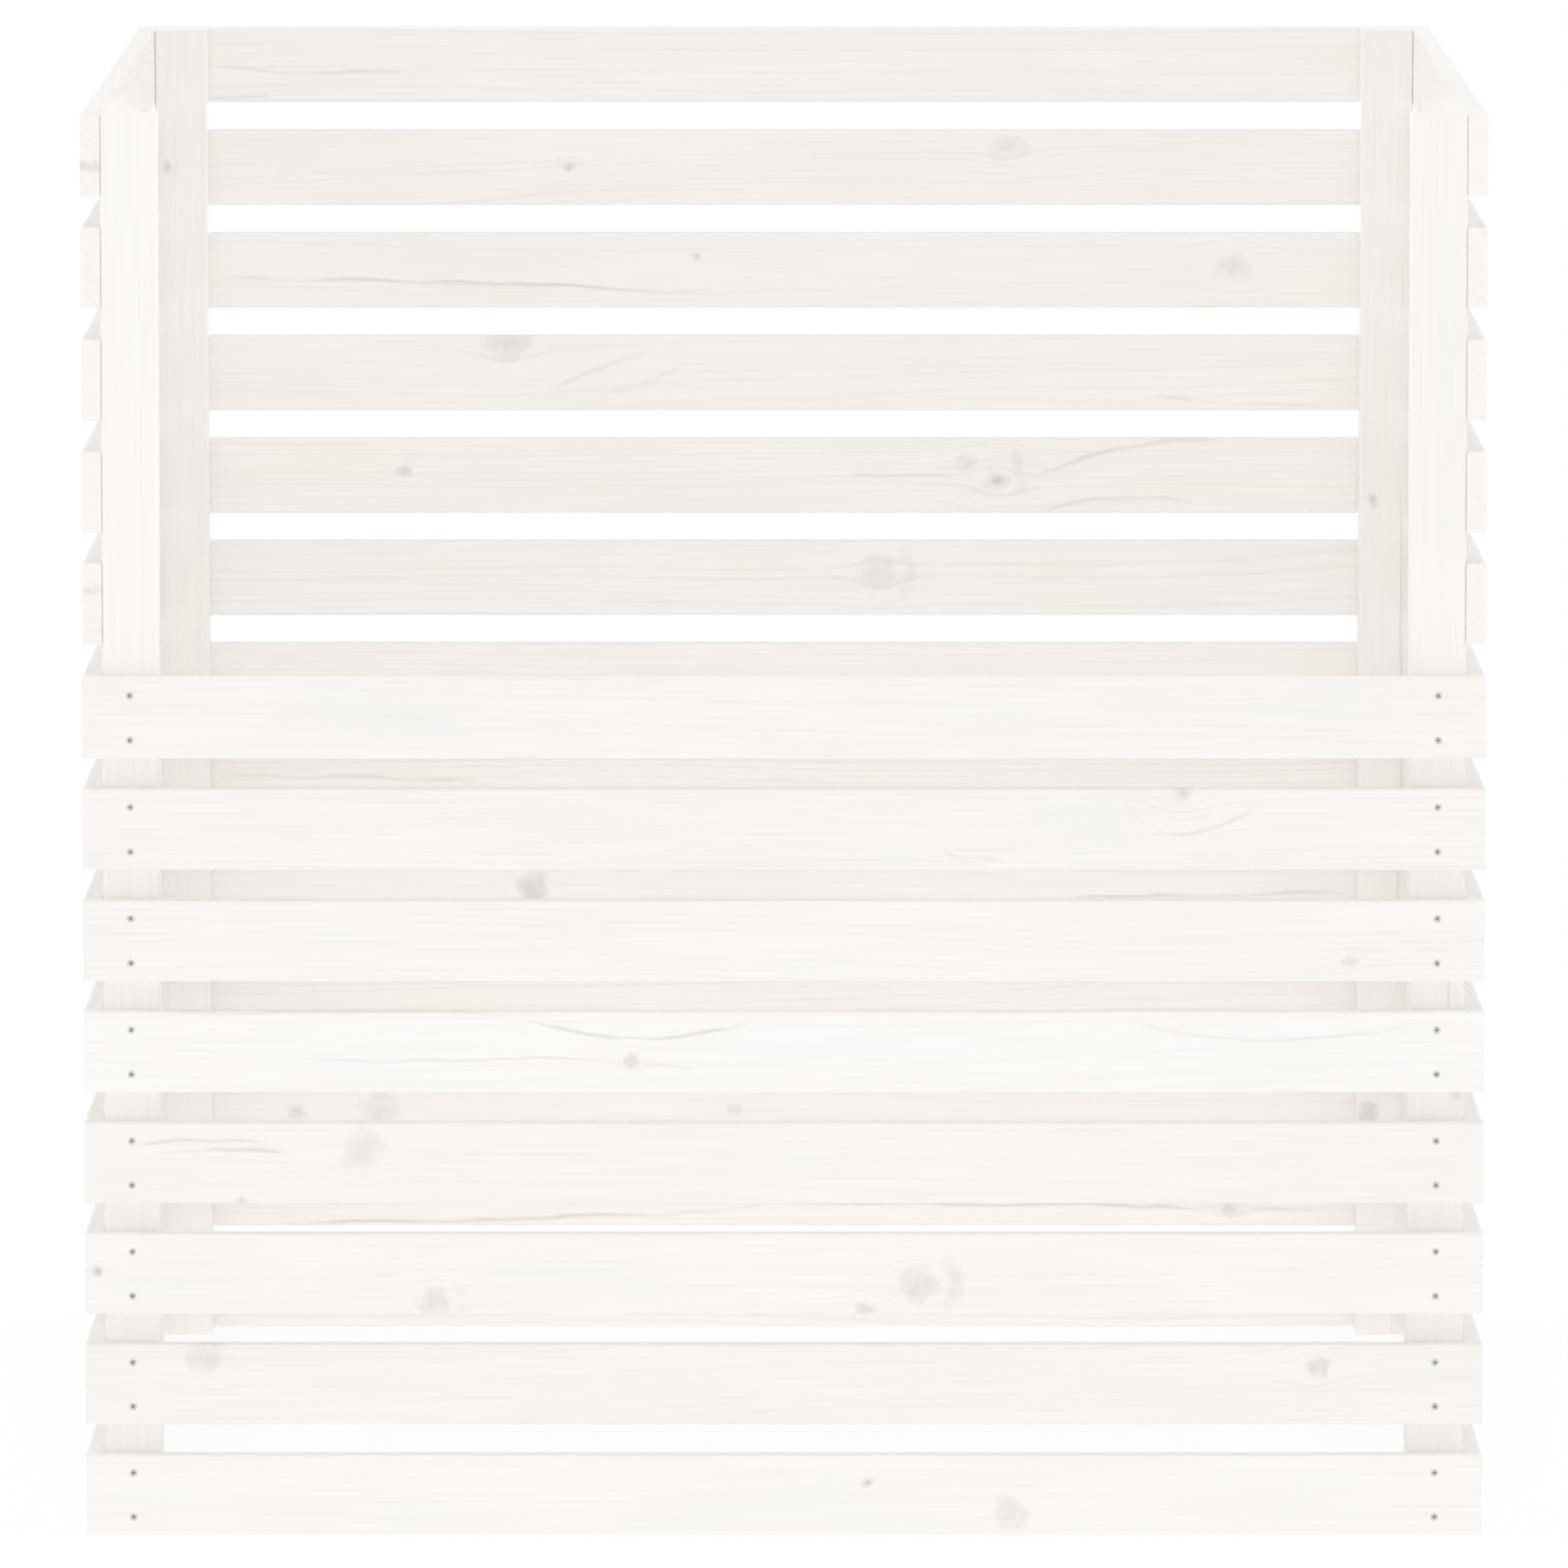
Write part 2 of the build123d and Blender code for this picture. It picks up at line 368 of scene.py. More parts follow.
def streak_group():
    """A dark grain streak that follows the grain, slopes or bows a little and fades out at both ends."""
    tree, given, result = new_group(
        "grain_streak",
        "ShaderNodeTree",
        {"Board": "Vector", "Grain": "Float", "Mark": "Float", "Middle": "Float", "Half": "Float",
         "Across": "Float", "Slope": "Float", "Bow": "Float", "Width": "Float", "Shade": "Float"},
        {"Mark": "Float"},
    )
    along = add_node(tree, SPLIT, {0: given["Board"]})
    offset = add_node(tree, MATH, {0: along, 1: given["Middle"]}, operation="SUBTRACT")
    share = add_node(tree, MATH, {0: offset, 1: given["Half"]}, operation="DIVIDE")
    square = add_node(tree, MATH, {0: share, 1: share}, operation="MULTIPLY")
    sloped = add_node(tree, MATH, {0: share, 1: given["Slope"], 2: given["Across"]}, operation="MULTIPLY_ADD")
    line = add_node(tree, MATH, {0: square, 1: given["Bow"], 2: sloped}, operation="MULTIPLY_ADD")
    wander_place = pattern_place(tree, given["Board"], STREAK_WANDER_SIZE)
    wander = add_node(tree, NOISE, {"Vector": wander_place, "Scale": 1.0, "Detail": 2.0})
    wobble = add_node(tree, RANGE, {0: wander, 1: 0.3, 2: 0.7, 3: -2.0, 4: 2.0})
    uneven = add_node(tree, MATH, {0: line, 1: wobble}, operation="ADD")
    gap = add_node(tree, MATH, {0: given["Grain"], 1: uneven}, operation="SUBTRACT")
    side = add_node(tree, MATH, {0: gap}, operation="ABSOLUTE")
    narrow = add_node(
        tree, RANGE, {0: side, 1: 0.0, 2: given["Width"], 3: 1.0, 4: 0.0}, interpolation_type="SMOOTHSTEP"
    )
    fade = add_node(
        tree, RANGE, {0: square, 1: 0.35, 2: 1.0, 3: 1.0, 4: 0.0}, interpolation_type="SMOOTHSTEP"
    )
    patchy = add_node(tree, RANGE, {0: wander, 1: 0.35, 2: 0.6, 3: 0.35, 4: 1.0})
    shade = add_node(tree, MATH, {0: fade, 1: given["Shade"]}, operation="MULTIPLY")
    broken = add_node(tree, MATH, {0: shade, 1: patchy}, operation="MULTIPLY")
    mark = add_node(tree, MATH, {0: narrow, 1: broken}, operation="MULTIPLY")
    tree.links.new(add_node(tree, MATH, {0: mark, 1: given["Mark"]}, operation="MAXIMUM"), result["Mark"])
    return tree


def growth_rings(tree, given, seeded):
    """How strongly the dark latewood shows, from 0 to 1, where the board cuts rings round its pith."""
    board = add_node(tree, SPLIT, {0: given["Board"]}).node.outputs
    pith = add_node(tree, SPLIT, {0: given["Pith"]}).node.outputs
    lean = add_node(tree, SPLIT, {0: given["Lean"]}).node.outputs

    # The pith leans and wanders by some millimetres, so the rings show as long waves and arches
    wander_place = pattern_place(tree, seeded, PITH_WANDER_SIZE)
    wander = add_node(tree, NOISE, {"Vector": wander_place, "Scale": 1.0, "Detail": 1.0}, output=1)
    wander_parts = add_node(tree, "ShaderNodeSeparateColor", {0: wander}).node.outputs
    sides = []
    for place, pith_place, pith_lean, drift in zip(
        (given["Grain"], board[2]), pith[:2], lean[:2], wander_parts[:2]
    ):
        start = add_node(tree, MATH, {0: board[0], 1: pith_lean, 2: pith_place}, operation="MULTIPLY_ADD")
        shift = add_node(tree, RANGE, {0: drift, 3: -9.0, 4: 9.0})
        pith_now = add_node(tree, MATH, {0: start, 1: shift}, operation="ADD")
        sides.append(add_node(tree, MATH, {0: place, 1: pith_now}, operation="SUBTRACT"))
    from_pith = add_node(tree, "ShaderNodeCombineXYZ", {0: sides[0], 1: sides[1]})
    ring_radius = add_node(tree, VECTOR, {0: from_pith}, output=1, operation="LENGTH")
    ripple_place = pattern_place(tree, seeded, RING_RIPPLE_SIZE)
    ripple = add_node(tree, NOISE, {"Vector": ripple_place, "Scale": 1.0, "Detail": 2.0})
    count = add_node(tree, MATH, {0: ring_radius, 1: given["Ring Width"]}, operation="DIVIDE")
    rings = add_node(tree, MATH, {0: ripple, 1: 0.55, 2: count}, operation="MULTIPLY_ADD")

    # Latewood darkens slowly outwards and ends sharply, and no two years are alike
    year = add_node(tree, MATH, {0: rings}, operation="FLOOR")
    luck = add_node(
        tree, "ShaderNodeTexWhiteNoise", {"W": year, "Vector": given["Seed"]}, noise_dimensions="4D"
    )
    year_strength = add_node(
        tree, RANGE, {0: luck, 1: 0.25, 2: 1.0, 3: 0.1, 4: 1.0}, interpolation_type="SMOOTHSTEP"
    )
    season = add_node(tree, MATH, {0: rings}, operation="FRACT")
    rise = add_node(tree, RANGE, {0: season, 1: 0.35, 2: 0.88}, interpolation_type="SMOOTHSTEP")
    fall = add_node(
        tree, RANGE, {0: season, 1: 0.88, 2: 1.0, 3: 1.0, 4: 0.0}, interpolation_type="SMOOTHSTEP"
    )
    late = add_node(tree, MATH, {0: rise, 1: fall}, operation="MULTIPLY")
    return add_node(tree, MATH, {0: late, 1: year_strength}, operation="MULTIPLY")


def pine_group():
    """Planed pine under a thin white stain: rings, fibres, clouds in the stain, knots and worn edges."""
    tree, given, result = new_group(
        "stained_pine",
        "ShaderNodeTree",
        {"Board": "Vector", "Grain": "Float", "Mark": "Float", "Heart": "Float", "Figure": "Float",
         "End": "Float", "Edge": "Float", "Seed": "Vector", "Pith": "Vector", "Lean": "Vector",
         "Ring Width": "Float", "Coat": "Float", "Strength": "Float"},
        {"Colour": "Color", "Roughness": "Float", "Height": "Float"},
    )
    seeded = add_node(tree, VECTOR, {0: given["Board"], 1: given["Seed"]}, operation="ADD")
    late = growth_rings(tree, given, seeded)
    contrast = add_node(
        tree,
        MATH,
        {0: given["Figure"], 1: 0.35, 2: given["Strength"]},
        operation="MULTIPLY_ADD",
        use_clamp=True,
    )
    ring_line = add_node(tree, MATH, {0: late, 1: contrast}, operation="MULTIPLY")

    # Fibres are drawn about 2 mm wide, coarser than real ones, so that they show from a few metres away
    fibre_place = pattern_place(tree, seeded, FIBRE_SIZE)
    fibre = add_node(tree, NOISE, {"Vector": fibre_place, "Scale": 1.0, "Detail": 2.0, "Roughness": 0.6})
    fibre_shade = add_node(tree, RANGE, {0: fibre, 1: 0.4, 2: 0.8, 3: 0.0, 4: 0.38})

    # The stain lies a little unevenly, in clouds some centimetres wide
    cloud_place = pattern_place(tree, seeded, CLOUD_SIZE)
    cloud = add_node(tree, NOISE, {"Vector": cloud_place, "Scale": 1.0, "Detail": 1.0}, output=1)
    cloud_parts = add_node(tree, "ShaderNodeSeparateColor", {0: cloud}).node.outputs
    warm = add_node(tree, RANGE, {0: cloud_parts[0], 1: 0.4, 2: 0.75})
    cool = add_node(tree, RANGE, {0: cloud_parts[1], 1: 0.5, 2: 0.8})

    colour = linear(STAIN_WHITE)
    layers = (
        (warm, STAIN_WARM),
        (cool, STAIN_COOL),
        (given["Coat"], STAIN_THICK),
        (fibre_shade, FIBRE_SHADE),
        (given["End"], END_GRAIN),
        (given["Edge"], BARE_EDGE),
        (ring_line, LATEWOOD),
        (given["Mark"], KNOT_BODY),
        (given["Heart"], KNOT_HEART),
    )
    for amount, shade in layers:
        colour = add_node(
            tree, MIX, {"Factor": amount, 6: colour, 7: linear(shade)}, output=2, data_type="RGBA"
        )
    tree.links.new(colour, result["Colour"])

    # Knots are harder and a little glossier, and the latewood stands proud by some hundredths of a millimetre
    fibre_rough = add_node(tree, RANGE, {0: fibre, 1: 0.3, 2: 0.7, 3: 0.54, 4: 0.68})
    rough = add_node(tree, MATH, {0: given["Mark"], 1: -0.15, 2: fibre_rough}, operation="MULTIPLY_ADD")
    tree.links.new(rough, result["Roughness"])
    fibre_height = add_node(tree, MATH, {0: fibre, 1: 0.06}, operation="MULTIPLY")
    height = add_node(tree, MATH, {0: late, 1: 0.05, 2: fibre_height}, operation="MULTIPLY_ADD")
    tree.links.new(height, result["Height"])
    return tree


# Turns of a board's own axes: along, across and through, for boards that lie along X, Y or Z
BOARD_TURNS = {
    "X": Matrix(((1, 0, 0), (0, 0, 1), (0, -1, 0))),
    "Y": Matrix(((0, 1, 0), (0, 0, 1), (1, 0, 0))),
    "Z": Matrix(((0, 0, 1), (1, 0, 0), (0, 1, 0))),
}


def board_axis(board):
    """World axis that a board lies along."""
    if board.endswith("post"):
        return "Z"
    return "X" if board.startswith(("front", "back")) else "Y"


def chance_knots(luck, half):
    """Up to two knots at chance places, for a board that is seen only from its end."""
    return [
        Knot(
            luck.uniform(-0.9, 0.9) * half[0],
            luck.uniform(-0.8, 0.8) * half[1],
            luck.uniform(4, 12),
            luck.uniform(1.0, 1.4),
            luck.uniform(1.6, 3.0),
            luck.uniform(0.6, 0.95),
            luck.uniform(0.0, 0.7),
            luck.uniform(0.0, 0.5),
        )
        for _ in range(luck.choice((0, 1, 1, 2)))
    ]


def stained_pine(board, knot_tree, streak_tree, pine_tree):
    """White-stained pine for one board: chalky white with faint grain, grey knots and a soft sheen."""
    material = bpy.data.materials.new(f"white_stained_pine_{board}")
    material.use_nodes = True
    tree = material.node_tree
    tree.nodes.clear()
    luck = random.Random(board)
    low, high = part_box(board)
    turn = BOARD_TURNS[board_axis(board)]
    half = [abs(length) / 2 / MM for length in turn @ (high - low)]
    coordinates = add_node(tree, "ShaderNodeTexCoord").node.outputs
    place = add_node(
        tree,
        "ShaderNodeMapping",
        {"Vector": coordinates["Object"], "Location": turn @ (low + high) / -2 / MM,
         "Rotation": turn.to_euler(), "Scale": (1 / MM, 1 / MM, 1 / MM)},
    )
    parts = add_node(tree, SPLIT, {0: place}).node.outputs
    flow = {"Grain": parts[1], "Mark": 0.0, "Heart": 0.0, "Figure": 0.0}

    # Knots and streaks
    knots = list(KNOTS.get(board, []))
    if board.startswith(("left", "right")):
        knots += chance_knots(luck, half)
    for knot in knots:
        shape = {"Centre": (knot.along, knot.across, 0), "Radius": knot.radius, "Stretch": knot.stretch,
                 "Swirl": knot.swirl, "Shade": knot.shade, "Heart Shade": knot.heart,
                 "Crescent": knot.crescent}
        done = add_node(tree, "ShaderNodeGroup", {"Board": place, **flow, **shape}, node_tree=knot_tree)
        flow = {name: done.node.outputs[name] for name in flow}
    for streak in STREAKS.get(board, []):
        first, centre, last = streak.across
        shape = {"Middle": (streak.start + streak.end) / 2, "Half": (streak.end - streak.start) / 2,
                 "Across": centre, "Slope": (last - first) / 2, "Bow": (first + last) / 2 - centre,
                 "Width": streak.width, "Shade": streak.shade}
        lines = {"Board": place, "Grain": flow["Grain"], "Mark": flow["Mark"], **shape}
        flow["Mark"] = add_node(tree, "ShaderNodeGroup", lines, node_tree=streak_tree)

    # Sawn ends and eased long edges take the stain differently, and a thin coat shows the wood all over
    along = turn.transposed() @ Vector((1, 0, 0))
    facing = add_node(tree, VECTOR, {0: coordinates["Normal"], 1: along}, output=1, operation="DOT_PRODUCT")
    end_side = add_node(tree, MATH, {0: facing}, operation="ABSOLUTE")
    end = add_node(tree, RANGE, {0: end_side, 1: 0.6, 2: 0.9, 3: 0.0, 4: 0.6})
    near_edge = []
    for part, reach in zip(parts[1:], half[1:]):
        side = add_node(tree, MATH, {0: part}, operation="ABSOLUTE")
        wear = {0: side, 1: reach - EDGE_WEAR_START, 2: reach - EDGE_WEAR_FULL}
        near_edge.append(add_node(tree, RANGE, wear))
    both = add_node(tree, MATH, {0: near_edge[0], 1: near_edge[1]}, operation="MULTIPLY")
    thin_coat = THIN_COATS.get(board, 0.0)
    edge = add_node(
        tree, MATH, {0: both, 1: EDGE_WEAR, 2: thin_coat}, operation="MULTIPLY_ADD", use_clamp=True
    )

    # The log that this board was sawn from, and its coat, which hides the grain where it is thick
    log = {
        "Seed": [luck.uniform(-9000, 9000) for _ in range(3)],
        "Pith": [luck.choice((-1, 1)) * luck.uniform(34, 80) for _ in range(2)] + [0],
        "Lean": (luck.uniform(-0.02, 0.02), luck.uniform(-0.02, 0.02), 0),
        "Ring Width": luck.uniform(2.8, 4.8),
        "Coat": THICK_COATS.get(board, luck.uniform(0.0, 0.25)),
        "Strength": luck.uniform(0.1, 0.3),
    }
    log["Strength"] *= 1 - 0.6 * log["Coat"]
    looks = {"Board": place, **flow, "End": end, "Edge": edge, **log}
    wood = add_node(tree, "ShaderNodeGroup", looks, node_tree=pine_tree).node.outputs
    bump = add_node(tree, "ShaderNodeBump", {"Height": wood["Height"], "Distance": MM, "Strength": 1.0})
    shader = add_node(
        tree,
        "ShaderNodeBsdfPrincipled",
        {"Base Color": wood["Colour"], "Roughness": wood["Roughness"], "Normal": bump, "IOR": 1.5,
         "Specular IOR Level": 0.25},
    )
    add_node(tree, "ShaderNodeOutputMaterial", {"Surface": shader})
    return material


# Screws
def zinc_plated_steel():
    """Dull zinc plating: a soft, slightly clouded grey metal with no mirror in it, with painted shade in the
    recess.
    """
    material = bpy.data.materials.new("zinc_plated_steel")
    material.use_nodes = True
    tree = material.node_tree
    tree.nodes.clear()
    place = add_node(tree, "ShaderNodeTexCoord").node.outputs["Object"]
    cloud = add_node(tree, NOISE, {"Vector": place, "Scale": 1 / (ZINC_CLOUD_SIZE * MM), "Detail": 3.0})
    dull = add_node(tree, RANGE, {0: cloud, 1: 0.35, 2: 0.7})
    colour = add_node(
        tree,
        MIX,
        {"Factor": dull, 6: linear(ZINC_BRIGHT), 7: linear(ZINC_DULL)},
        output=2,
        data_type="RGBA",
    )
    # Faces inside the recess get painted shade: their colour is mixed towards a darker grey
    recess = add_node(tree, "ShaderNodeAttribute", attribute_name=RECESS_MARK).node.outputs["Fac"]
    recess_painted_shade = add_node(
        tree, MIX, {"Factor": recess, 6: colour, 7: linear(ZINC_PAINTED_RECESS_SHADE)}, output=2, data_type="RGBA"
    )
    rough = add_node(tree, RANGE, {0: cloud, 1: 0.3, 2: 0.7, 3: 0.6, 4: 0.8})
    grain = add_node(tree, NOISE, {"Vector": place, "Scale": 1 / (ZINC_GRAIN_SIZE * MM), "Detail": 1.0})
    bump = add_node(
        tree, "ShaderNodeBump", {"Height": grain, "Distance": ZINC_GRAIN_HEIGHT * MM, "Strength": 1.0}
    )
    shader = add_node(
        tree,
        "ShaderNodeBsdfPrincipled",
        {"Base Color": recess_painted_shade, "Metallic": 1.0, "Roughness": rough, "Normal": bump},
    )
    add_node(tree, "ShaderNodeOutputMaterial", {"Surface": shader})
    return material


def screw_tree():
    """Geometry nodes for one wall's countersunk screws, two at each end of a slat, turned by chance."""
    sizes = {"Rows": "Int", "First Row": "Float", "Row Pitch": "Float", "Reach": "Float",
             "Pair Spacing": "Float", "Face": "Float", "Turn": "Float", "Length": "Float",
             "Material": "Material"}
    sizes.update({name: "Float" for name in SCREW_SIZES})
    tree, given, result = new_group("wall_screws", "GeometryNodeTree", sizes, {"Geometry": "Geometry"})

    # One screw along Z with its head's top at zero: edge, countersunk head, shank and point
    edge_radius = add_node(tree, MATH, {0: given["Head Radius"], 1: given["Head Edge"]}, operation="SUBTRACT")
    edge_low = add_node(tree, MATH, {0: 0.0, 1: given["Head Edge"]}, operation="SUBTRACT")
    head_low = add_node(tree, MATH, {0: edge_low, 1: given["Head Height"]}, operation="SUBTRACT")
    shank_low = add_node(tree, MATH, {0: given["Point Length"], 1: given["Length"]}, operation="SUBTRACT")
    point_low = add_node(tree, MATH, {0: 0.0, 1: given["Length"]}, operation="SUBTRACT")
    stretches = (
        (edge_radius, given["Head Radius"], edge_low, given["Head Edge"]),
        (given["Head Radius"], given["Shank Radius"], head_low, given["Head Height"]),
        (given["Shank Radius"], given["Shank Radius"], shank_low,
         add_node(tree, MATH, {0: head_low, 1: shank_low}, operation="SUBTRACT")),
        (given["Shank Radius"], 0.0, point_low, given["Point Length"]),
    )
    skin = [add_node(
        tree, "GeometryNodeMeshCircle", {"Vertices": SCREW_SIDES, "Radius": edge_radius}, fill_type="NGON"
    )]
    for top_radius, bottom_radius, low, depth in stretches:
        side = add_node(
            tree,
            "GeometryNodeMeshCone",
            {"Vertices": SCREW_SIDES, "Radius Top": top_radius, "Radius Bottom": bottom_radius,
             "Depth": depth},
            fill_type="NONE",
        )
        lift = add_node(tree, "ShaderNodeCombineXYZ", {2: low})
        skin.append(add_node(tree, TRANSFORM, {"Geometry": side, "Translation": lift}))
    loose = add_node(tree, "GeometryNodeJoinGeometry", {0: skin})
    blank = add_node(tree, "GeometryNodeMergeByDistance", {"Geometry": loose, "Distance": 0.01 * MM})

    # The cross recess, two slots over a round pit
    slot_depth = add_node(tree, MATH, {0: given["Recess Depth"], 1: 2.0}, operation="MULTIPLY")
    pit = {"Vertices": SCREW_SIDES, "Radius": given["Recess Radius"], "Depth": slot_depth}
    cutters = [add_node(tree, "GeometryNodeMeshCylinder", pit)]
    for length, width in (("Recess Length", "Recess Width"), ("Recess Width", "Recess Length")):
        size = add_node(tree, "ShaderNodeCombineXYZ", {0: given[length], 1: given[width], 2: slot_depth})
        cutters.append(add_node(tree, "GeometryNodeMeshCube", {"Size": size}))
    cut = add_node(
        tree,
        "GeometryNodeMeshBoolean",
        {"Mesh 1": blank, "Mesh 2": cutters},
        operation="DIFFERENCE",
        solver="MANIFOLD",
    )

    # Faces inside the recess are marked, for the material to paint shade on them
    place = add_node(tree, "GeometryNodeInputPosition")
    flat = add_node(tree, VECTOR, {0: place, 1: (1, 1, 0)}, operation="MULTIPLY")
    off_axis = add_node(tree, VECTOR, {0: flat}, output=1, operation="LENGTH")
    height = add_node(tree, SPLIT, {0: place}).node.outputs[2]
    floor_low = add_node(tree, MATH, {0: 0.0, 1: slot_depth}, operation="SUBTRACT")
    within = add_node(tree, MATH, {0: off_axis, 1: given["Shank Radius"]}, operation="LESS_THAN")
    below = add_node(tree, MATH, {0: height, 1: edge_low}, operation="LESS_THAN")
    above = add_node(tree, MATH, {0: height, 1: floor_low}, operation="GREATER_THAN")
    in_slot = add_node(tree, MATH, {0: below, 1: above}, operation="MULTIPLY")
    inside = add_node(tree, MATH, {0: within, 1: in_slot}, operation="MULTIPLY")
    marked = add_node(
        tree,
        "GeometryNodeStoreNamedAttribute",
        {"Geometry": cut, "Name": RECESS_MARK, "Value": inside},
        data_type="FLOAT",
        domain="FACE",
    )
    screw = add_node(tree, TRANSFORM, {"Geometry": marked, "Rotation": (math.pi / 2, 0, 0)})

    # Places on the wall: a pair at each end of every row
    first = add_node(tree, "ShaderNodeCombineXYZ", {2: given["First Row"]})
    step = add_node(tree, "ShaderNodeCombineXYZ", {2: given["Row Pitch"]})
    rows = add_node(
        tree, "GeometryNodeMeshLine", {"Count": given["Rows"], "Start Location": first, "Offset": step}
    )
    wide = add_node(tree, MATH, {0: given["Reach"], 1: 2.0}, operation="MULTIPLY")
    corners = add_node(
        tree,
        "GeometryNodeMeshGrid",
        {"Size X": wide, "Size Y": given["Pair Spacing"], "Vertices X": 2, "Vertices Y": 2},
    )
    upright = add_node(tree, TRANSFORM, {"Geometry": corners, "Rotation": (math.pi / 2, 0, 0)})
    pairs = add_node(tree, "GeometryNodeInstanceOnPoints", {"Points": rows, "Instance": upright})
    seats = add_node(tree, "GeometryNodeRealizeInstances", {0: pairs})
    spin = add_node(
        tree,
        "FunctionNodeRandomValue",
        {0: (0, 0, 0), 1: (0, 2 * math.pi, 0), "Seed": SCREW_TURN_SEED},
        data_type="FLOAT_VECTOR",
    )
    placed = add_node(
        tree, "GeometryNodeInstanceOnPoints", {"Points": seats, "Instance": screw, "Rotation": spin}
    )
    inward = add_node(tree, MATH, {0: 0.0, 1: given["Face"]}, operation="SUBTRACT")
    out = add_node(tree, "ShaderNodeCombineXYZ", {1: inward})
    on_face = add_node(tree, TRANSFORM, {"Geometry": placed, "Translation": out})
    about = add_node(tree, "ShaderNodeCombineXYZ", {2: given["Turn"]})
    on_wall = add_node(tree, TRANSFORM, {"Geometry": on_face, "Rotation": about})
    real = add_node(tree, "GeometryNodeRealizeInstances", {0: on_wall})
    finished = add_node(tree, "GeometryNodeSetMaterial", {"Geometry": real, "Material": given["Material"]})
    tree.links.new(finished, result["Geometry"])
    return tree


def wall_screws(wall, tree, zinc):
    """All the screws of one wall, as one plain mesh in place of the wall's screws part, which is hidden."""
    node = f"{wall}_screws"
    along = 1 if wall in ("left", "right") else 0
    low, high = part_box(node)
    depth = min(high[axis] - low[axis] for axis in (0, 1))
    first, second = middle(f"{wall}_slat_01"), middle(f"{wall}_slat_02")
    values = {
        "Rows": sum(name.startswith(f"{wall}_slat_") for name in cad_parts),
        "First Row": first.z,
        "Row Pitch": second.z - first.z,
        "Reach": abs(middle("front_left_post")[along]),
        "Pair Spacing": SCREW_PAIR_SPACING * MM,
        "Face": cad_high[1 - along] - SCREW_HEAD_SINK * MM,
        "Turn": math.radians(WALL_TURNS[wall]),
        "Length": depth,
        "Material": zinc,
        **{name: size * MM for name, size in SCREW_SIZES.items()},
    }
    blank = bpy.data.objects.new("blank", bpy.data.meshes.new("blank"))
    bpy.context.scene.collection.objects.link(blank)
    modifier = blank.modifiers.new("screws", "NODES")
    modifier.node_group = tree
    for item in tree.interface.items_tree:
        if item.in_out == "INPUT":
            modifier[item.identifier] = values[item.name]
    evaluated = blank.evaluated_get(bpy.context.evaluated_depsgraph_get())
    mesh = bpy.data.meshes.new_from_object(evaluated)
    bpy.data.objects.remove(blank)
    piece = bpy.data.objects.new(f"{wall}_wall_screws", mesh)
    bpy.context.scene.collection.objects.link(piece)
    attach(piece, "root")
    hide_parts(node)


# Floor, light and camera
def seen_directly(tree):
    """One where the camera, or a mirror or glass, looks, and zero where only light is gathered."""
    rays = add_node(tree, "ShaderNodeLightPath").node.outputs
    shown = add_node(
        tree, MATH, {0: rays["Is Glossy Ray"], 1: rays["Is Transmission Ray"]}, operation="MAXIMUM"
    )
    return add_node(tree, MATH, {0: rays["Is Camera Ray"], 1: shown}, operation="MAXIMUM")


def white_floor():
    """A plain pale floor that lights the bin evenly from below, keeps its soft shadow and reads white."""
    half = FLOOR_HALF
    mesh = bpy.data.meshes.new("floor")
    corners = [(-half, -half, 0), (half, -half, 0), (half, half, 0), (-half, half, 0)]
    mesh.from_pydata(corners, [], [(0, 1, 2, 3)])
    floor = bpy.data.objects.new("floor", mesh)
    bpy.context.scene.collection.objects.link(floor)
    material = bpy.data.materials.new("white_floor")
    material.use_nodes = True
    tree = material.node_tree
    tree.nodes.clear()
    bounce = add_node(tree, "ShaderNodeBsdfDiffuse", {"Color": (FLOOR_BOUNCE, FLOOR_BOUNCE, FLOOR_BOUNCE, 1)})
    even = add_node(tree, "ShaderNodeEmission", {"Color": (1, 1, 1, 1), "Strength": FLOOR_LEVEL})
    lit = add_node(tree, "ShaderNodeAddShader", {0: bounce, 1: even})
    pale = add_node(tree, "ShaderNodeBsdfDiffuse", {"Color": (FLOOR_PALE, FLOOR_PALE, FLOOR_PALE, 1)})
    glow = add_node(tree, "ShaderNodeEmission", {"Color": (1, 1, 1, 1), "Strength": FLOOR_GLOW})
    near = add_node(tree, "ShaderNodeAddShader", {0: pale, 1: glow})
    white = add_node(tree, "ShaderNodeEmission", {"Color": (1, 1, 1, 1), "Strength": 1.0})
    place = add_node(tree, "ShaderNodeTexCoord").node.outputs["Object"]
    away = add_node(tree, VECTOR, {0: place}, output=1, operation="LENGTH")
    start, end = FLOOR_FADE
    far = add_node(tree, RANGE, {0: away, 1: start, 2: end}, interpolation_type="SMOOTHSTEP")
    shown = add_node(tree, "ShaderNodeMixShader", {0: far, 1: near, 2: white})
    surface = add_node(tree, "ShaderNodeMixShader", {0: seen_directly(tree), 1: lit, 2: shown})
    add_node(tree, "ShaderNodeOutputMaterial", {"Surface": surface})
    material.cycles.emission_sampling = "NONE"
    mesh.materials.append(material)


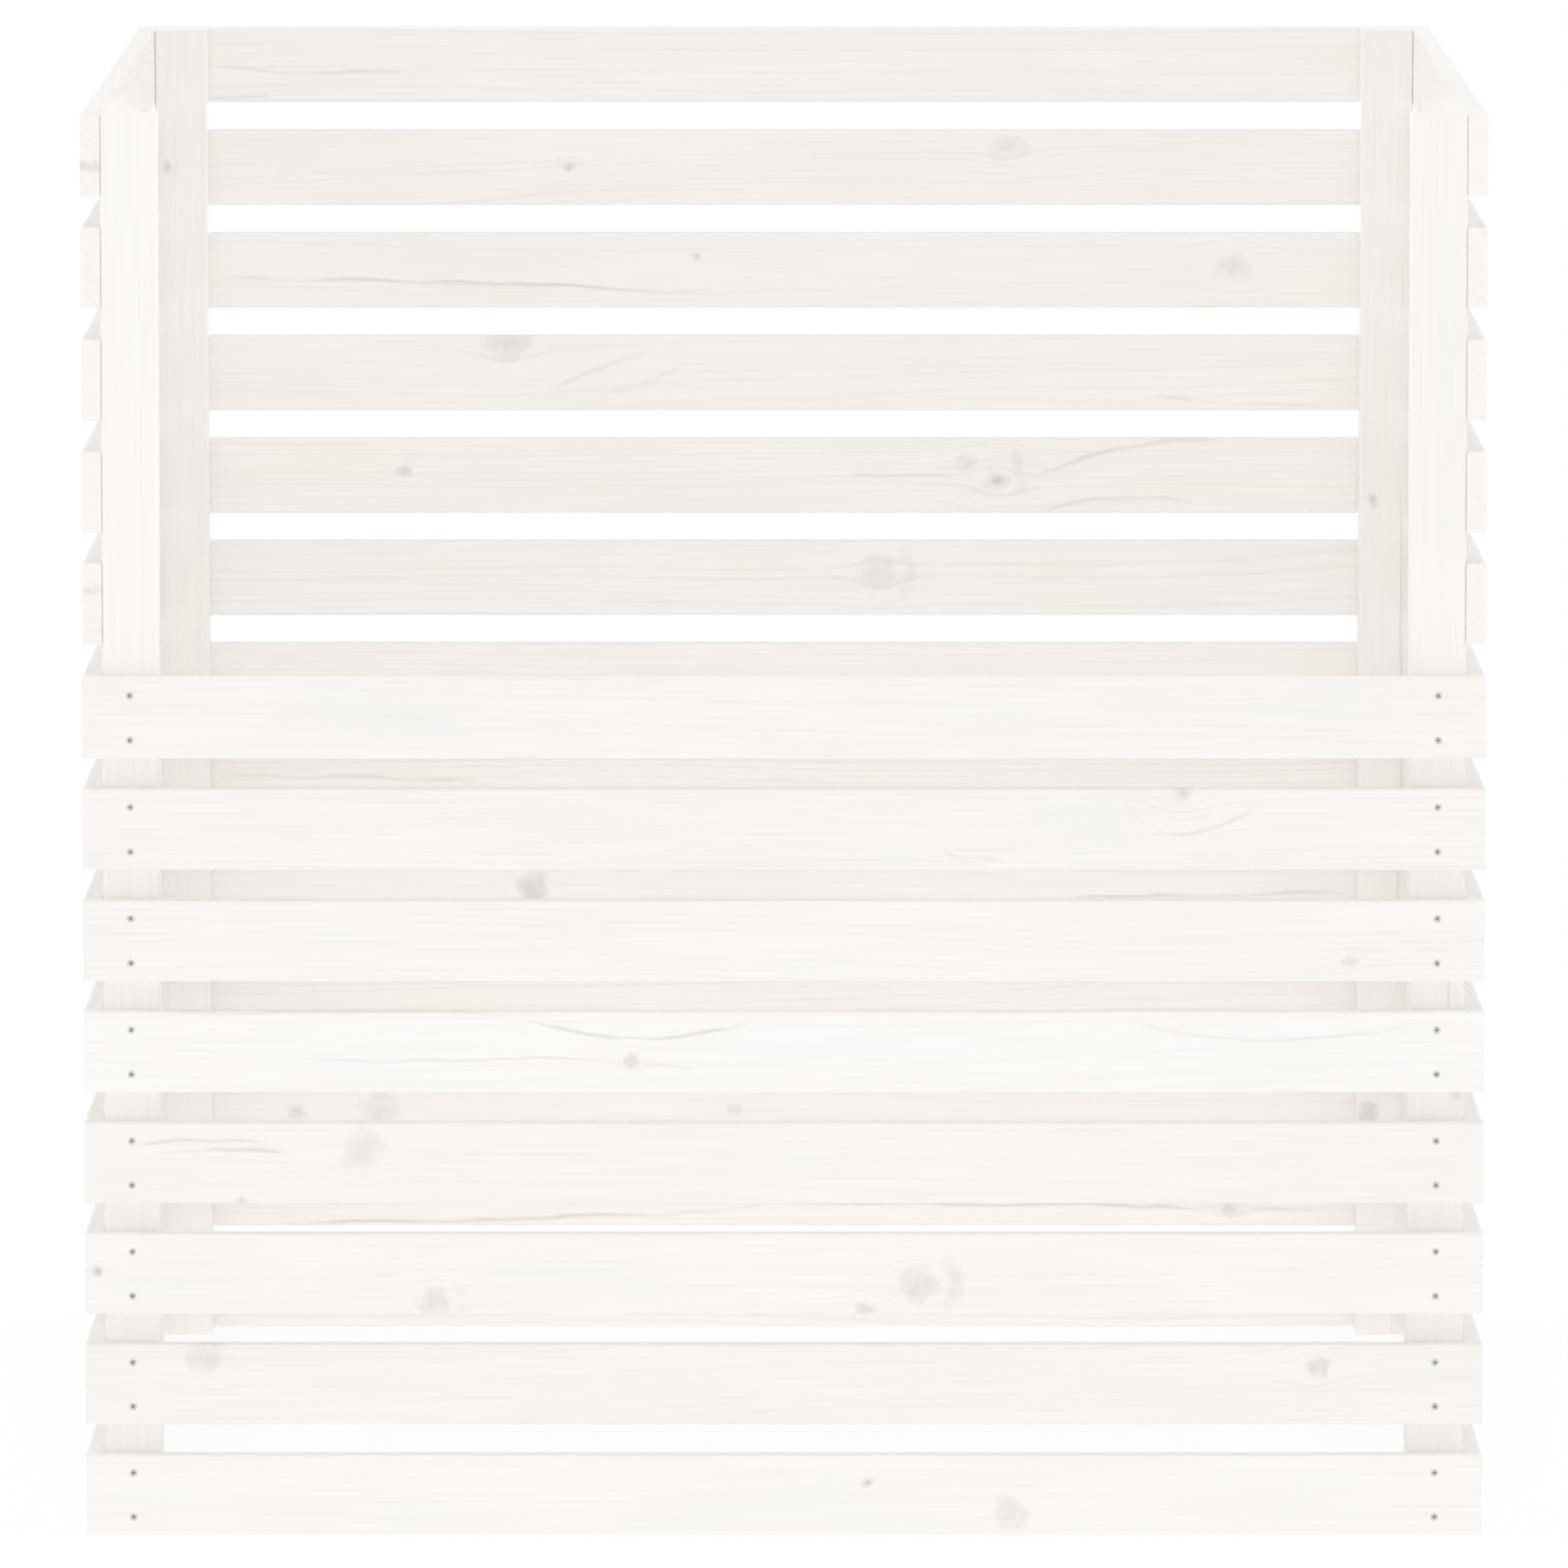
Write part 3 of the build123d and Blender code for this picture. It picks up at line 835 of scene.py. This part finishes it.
def white_world():
    """Even white light from all round, seen as plain white."""
    world = bpy.data.worlds.new("studio")
    world.use_nodes = True
    tree = world.node_tree
    tree.nodes.clear()
    strength = add_node(tree, RANGE, {0: seen_directly(tree), 3: AIR_LEVEL, 4: 1.0})
    background = add_node(tree, "ShaderNodeBackground", {"Color": (1, 1, 1, 1), "Strength": strength})
    add_node(tree, "ShaderNodeOutputWorld", {"Surface": background})
    bpy.context.scene.world = world


def softbox(name, lamp):
    """An area lamp that lights near and far alike, so that the far wall is as bright as the near one."""
    target = (cad_low + cad_high) / 2
    azimuth, elevation = math.radians(lamp.azimuth), math.radians(lamp.elevation)
    outward = Vector((
        math.sin(azimuth) * math.cos(elevation), -math.cos(azimuth) * math.cos(elevation), math.sin(elevation)
    ))
    light = bpy.data.lights.new(name, "AREA")
    light.shape = "RECTANGLE"
    light.size, light.size_y = lamp.width, lamp.height
    light.energy = lamp.level * math.pi**2
    light.use_nodes = True
    tree = light.node_tree
    tree.nodes.clear()
    even = add_node(tree, "ShaderNodeLightFalloff", {"Strength": 1.0}).node.outputs["Constant"]
    glow = add_node(tree, "ShaderNodeEmission", {"Color": (1, 1, 1, 1), "Strength": even})
    add_node(tree, "ShaderNodeOutputLight", {"Surface": glow})
    holder = bpy.data.objects.new(name, light)
    holder.location = target + outward * LAMP_DISTANCE
    holder.rotation_euler = outward.to_track_quat("Z", "Y").to_euler()
    holder.visible_camera = False
    bpy.context.scene.collection.objects.link(holder)


def photo_camera():
    """Camera at the photograph's viewpoint, tilted down to the bin."""
    camera = bpy.data.cameras.new("camera")
    camera.sensor_width = CAMERA_SENSOR
    camera.lens = CAMERA_LENS
    camera.clip_end = 200.0
    holder = bpy.data.objects.new("camera", camera)
    holder.location = CAMERA_PLACE
    holder.rotation_euler = (math.radians(90 - CAMERA_PITCH), 0, 0)
    bpy.context.scene.collection.objects.link(holder)
    bpy.context.scene.camera = holder


pine_parts = knot_group(), streak_group(), pine_group()
for name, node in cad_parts.items():
    if not name.endswith("screws"):
        node.data.materials.clear()
        node.data.materials.append(stained_pine(name, *pine_parts))

screw_nodes, zinc = screw_tree(), zinc_plated_steel()
for wall in WALL_TURNS:
    wall_screws(wall, screw_nodes, zinc)

white_floor()
white_world()
for name, lamp in LAMPS.items():
    softbox(name, lamp)
photo_camera()
bpy.context.scene.view_settings.view_transform = "Standard"
